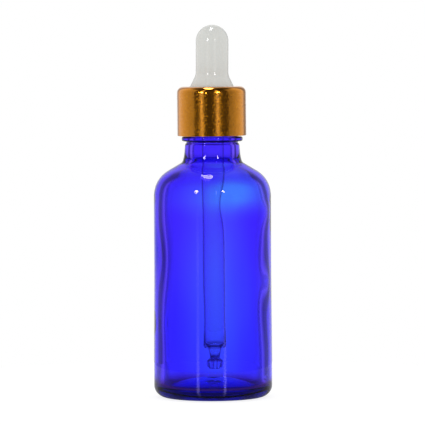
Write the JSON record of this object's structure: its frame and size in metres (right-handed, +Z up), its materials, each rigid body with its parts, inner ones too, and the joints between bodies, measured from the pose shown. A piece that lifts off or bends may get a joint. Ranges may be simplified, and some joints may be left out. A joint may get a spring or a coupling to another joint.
{
  "type": "dropper bottle",
  "caption": "Round cobalt-blue glass dropper bottle with a screw-on gold collar, a white rubber squeeze bulb and a ball-tipped glass pipette.",
  "frame": {"origin": "centre of the ring that the bottle stands on", "axes": "+Z up along the bottle's axis, which is also the screw axis; -Y towards the camera of the picture; +X to the right"},
  "size_m": [0.037, 0.037, 0.1163],
  "materials": {
    "cobalt_glass": "fire-polished cobalt blue glass",
    "polyethylene": "waxy translucent white",
    "white_rubber": "satin, warm white",
    "clear_glass": "drawn clear glass tube",
    "polypropylene": "moulded, satin white",
    "gold_aluminium": "gold anodised with a fine grain"
  },
  "bodies": {
    "bottle": {"bottle": "cobalt_glass"},
    "seal": {"sealing_washer": "polyethylene"},
    "dropper": {"rubber_bulb": "white_rubber", "glass_pipette": "clear_glass"},
    "closure": {"inner_cap": "polypropylene", "collar_shell": "gold_aluminium"}
  },
  "joints": [
    {"name": "dropper_lift", "type": "slide", "parent": "bottle", "child": "seal", "axis": [0, 0, 1], "range_m": [0, 0.1]},
    {"name": "thread_climb", "type": "slide", "parent": "seal", "child": "dropper", "axis": [0, 0, 1], "range_m": [0, 0.006]},
    {"name": "collar_turn", "type": "hinge", "parent": "dropper", "child": "closure", "pos_m": [0, 0, 0.08175], "axis": [0, 0, 1], "range_deg": [0, 720]}
  ],
  "couplings": [
    {"joint": "thread_climb", "follows": "collar_turn", "m_per_rad": 0.00047746}
  ]
}
